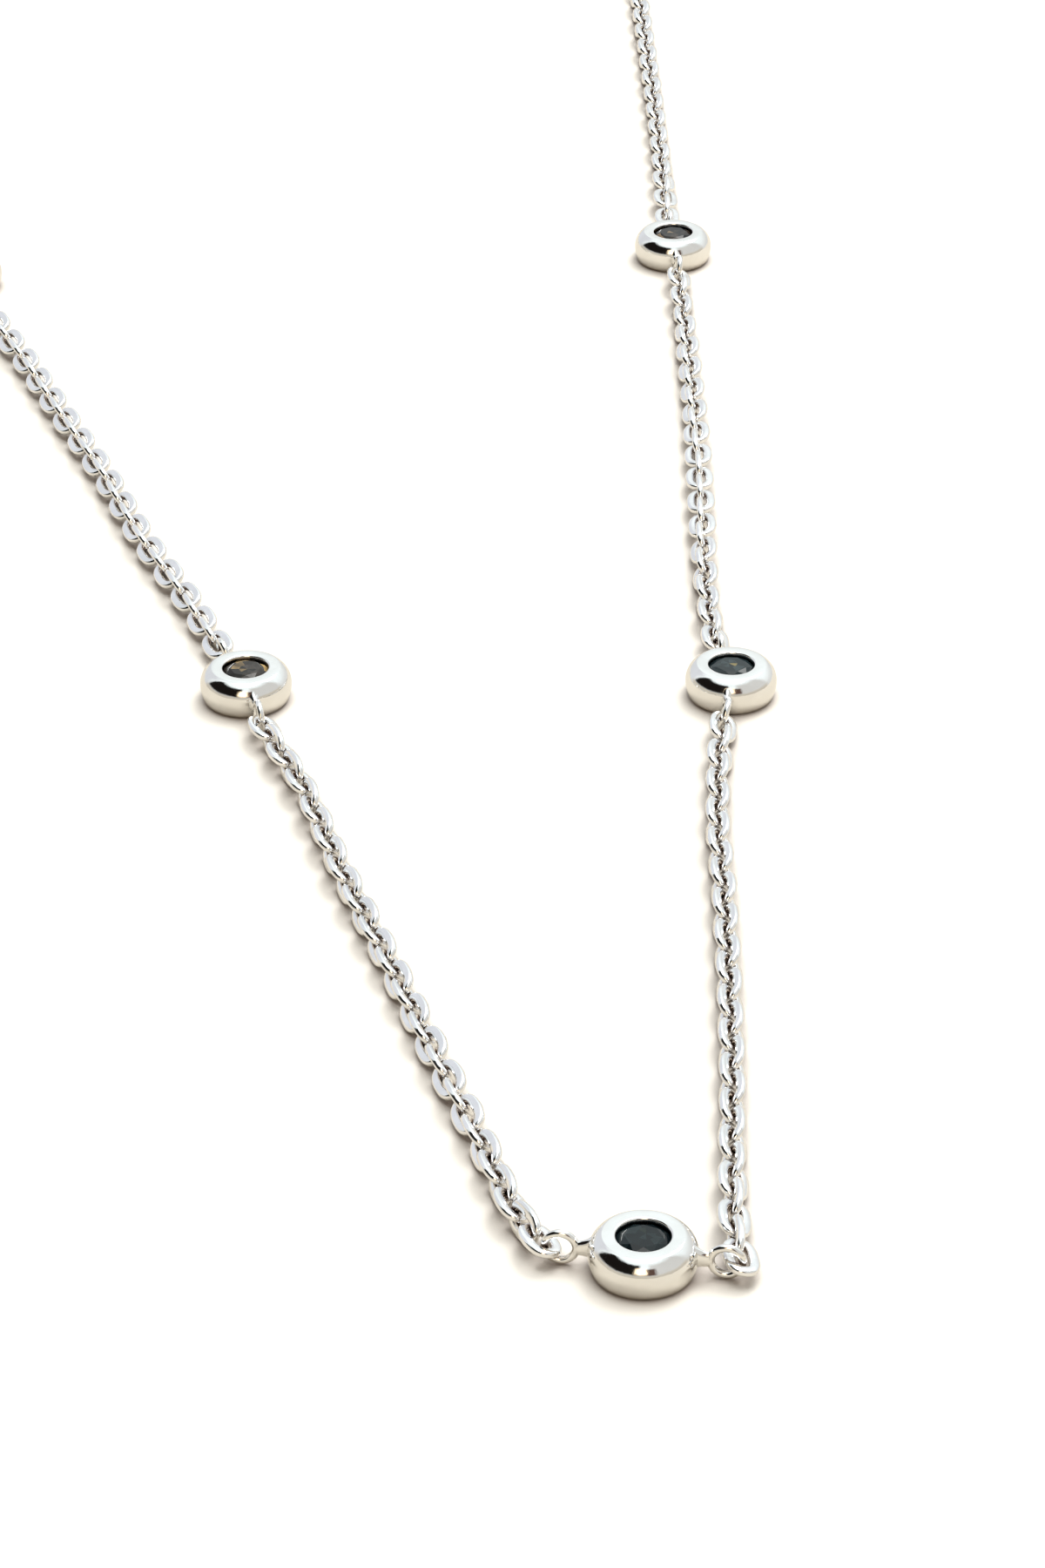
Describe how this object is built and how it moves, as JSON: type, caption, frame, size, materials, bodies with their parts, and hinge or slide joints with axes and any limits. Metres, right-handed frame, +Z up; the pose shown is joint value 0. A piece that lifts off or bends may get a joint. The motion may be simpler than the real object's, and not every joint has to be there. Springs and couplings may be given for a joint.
{
  "type": "station necklace",
  "caption": "Fine cable chain in a closed loop, with round bezel-set faceted dark stones spaced evenly along its front and a ring clasp at the back.",
  "frame": {"origin": "centre of the centre setting's flat underside, on the surface the necklace lies on", "axes": "+Z up from the surface, +Y from the centre setting into the loop towards the clasp, +X to the right as seen from the centre setting's side"},
  "size_m": [0.0682, 0.2061, 0.003],
  "materials": {
    "polished_metal": "bright polished white metal",
    "chain_metal": "bright polished white metal, flattened links",
    "dark_stone": "polished facets, near-black blue-green"
  },
  "bodies": {
    "root": {"setting_centre": "polished_metal", "setting_right_1": "polished_metal", "setting_right_2": "polished_metal", "setting_left_1": "polished_metal", "setting_left_2": "polished_metal", "stone_centre": "dark_stone", "stone_right_1": "dark_stone", "stone_right_2": "dark_stone", "stone_left_1": "dark_stone", "stone_left_2": "dark_stone", "chain_right_1": "chain_metal", "chain_right_2": "chain_metal", "chain_right_back": "chain_metal", "chain_left_1": "chain_metal", "chain_left_2": "chain_metal", "chain_left_back": "chain_metal", "clasp": "polished_metal", "end_ring": "polished_metal"}
  },
  "joints": []
}
